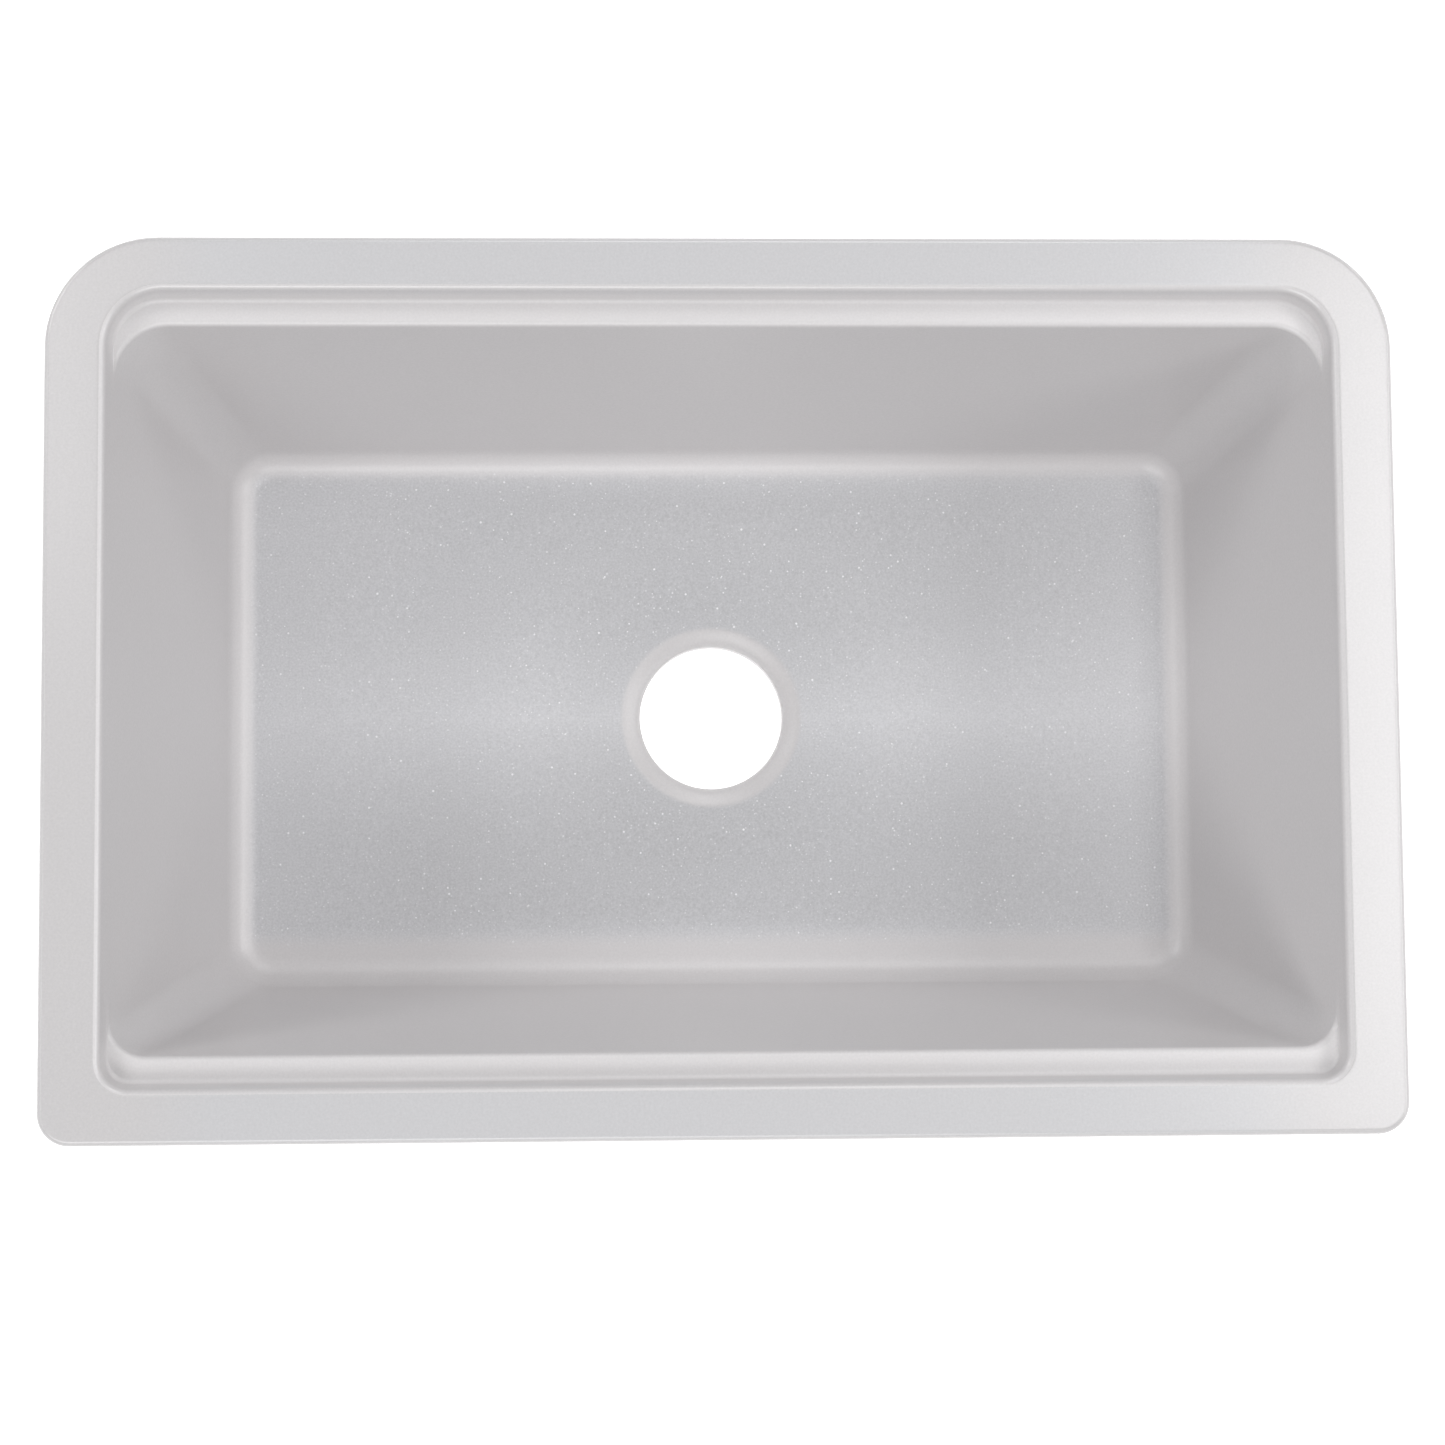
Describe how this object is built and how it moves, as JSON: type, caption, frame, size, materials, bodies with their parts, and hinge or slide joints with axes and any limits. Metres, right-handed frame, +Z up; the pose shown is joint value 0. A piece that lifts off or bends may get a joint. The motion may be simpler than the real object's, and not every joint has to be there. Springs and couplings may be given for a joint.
{
  "type": "apron sink",
  "caption": "Single-bowl composite workstation sink with a front apron, accessory ledges, a drain hole and swing-out mounting clips under the rim.",
  "frame": {"origin": "below the middle of the rim, on the plane of the bowl's base", "axes": "+X to the user's right, +Y to the back, away from the apron, +Z up"},
  "size_m": [0.762, 0.508, 0.241],
  "materials": {
    "composite": "satin moulded granite composite, pale grey-white with fine speckle",
    "brass": "turned",
    "screw_steel": "zinc plated",
    "clip_steel": "zinc plated sheet"
  },
  "bodies": {
    "sink": {"sink_body": "composite", "threaded_inserts": "brass", "clip_screws": "screw_steel", "clip_washers": "screw_steel"},
    "rear_clip_1": {"rear_clip_1": "clip_steel"},
    "rear_clip_2": {"rear_clip_2": "clip_steel"},
    "rear_clip_3": {"rear_clip_3": "clip_steel"},
    "rear_clip_4": {"rear_clip_4": "clip_steel"},
    "left_clip_1": {"left_clip_1": "clip_steel"},
    "left_clip_2": {"left_clip_2": "clip_steel"},
    "right_clip_1": {"right_clip_1": "clip_steel"},
    "right_clip_2": {"right_clip_2": "clip_steel"}
  },
  "joints": [
    {"name": "rear_clip_1_swing", "type": "hinge", "parent": "sink", "child": "rear_clip_1", "pos_m": [-0.25, 0.2425, 0.2185], "axis": [0, 0, 1], "range_deg": [0, 90]},
    {"name": "rear_clip_2_swing", "type": "hinge", "parent": "sink", "child": "rear_clip_2", "pos_m": [-0.085, 0.2425, 0.2185], "axis": [0, 0, 1], "range_deg": [0, 90]},
    {"name": "rear_clip_3_swing", "type": "hinge", "parent": "sink", "child": "rear_clip_3", "pos_m": [0.085, 0.2425, 0.2185], "axis": [0, 0, -1], "range_deg": [0, 90]},
    {"name": "rear_clip_4_swing", "type": "hinge", "parent": "sink", "child": "rear_clip_4", "pos_m": [0.25, 0.2425, 0.2185], "axis": [0, 0, -1], "range_deg": [0, 90]},
    {"name": "left_clip_1_swing", "type": "hinge", "parent": "sink", "child": "left_clip_1", "pos_m": [-0.3695, -0.09, 0.2185], "axis": [0, 0, 1], "range_deg": [0, 90]},
    {"name": "left_clip_2_swing", "type": "hinge", "parent": "sink", "child": "left_clip_2", "pos_m": [-0.3695, 0.11, 0.2185], "axis": [0, 0, 1], "range_deg": [0, 90]},
    {"name": "right_clip_1_swing", "type": "hinge", "parent": "sink", "child": "right_clip_1", "pos_m": [0.3695, -0.09, 0.2185], "axis": [0, 0, -1], "range_deg": [0, 90]},
    {"name": "right_clip_2_swing", "type": "hinge", "parent": "sink", "child": "right_clip_2", "pos_m": [0.3695, 0.11, 0.2185], "axis": [0, 0, -1], "range_deg": [0, 90]}
  ]
}
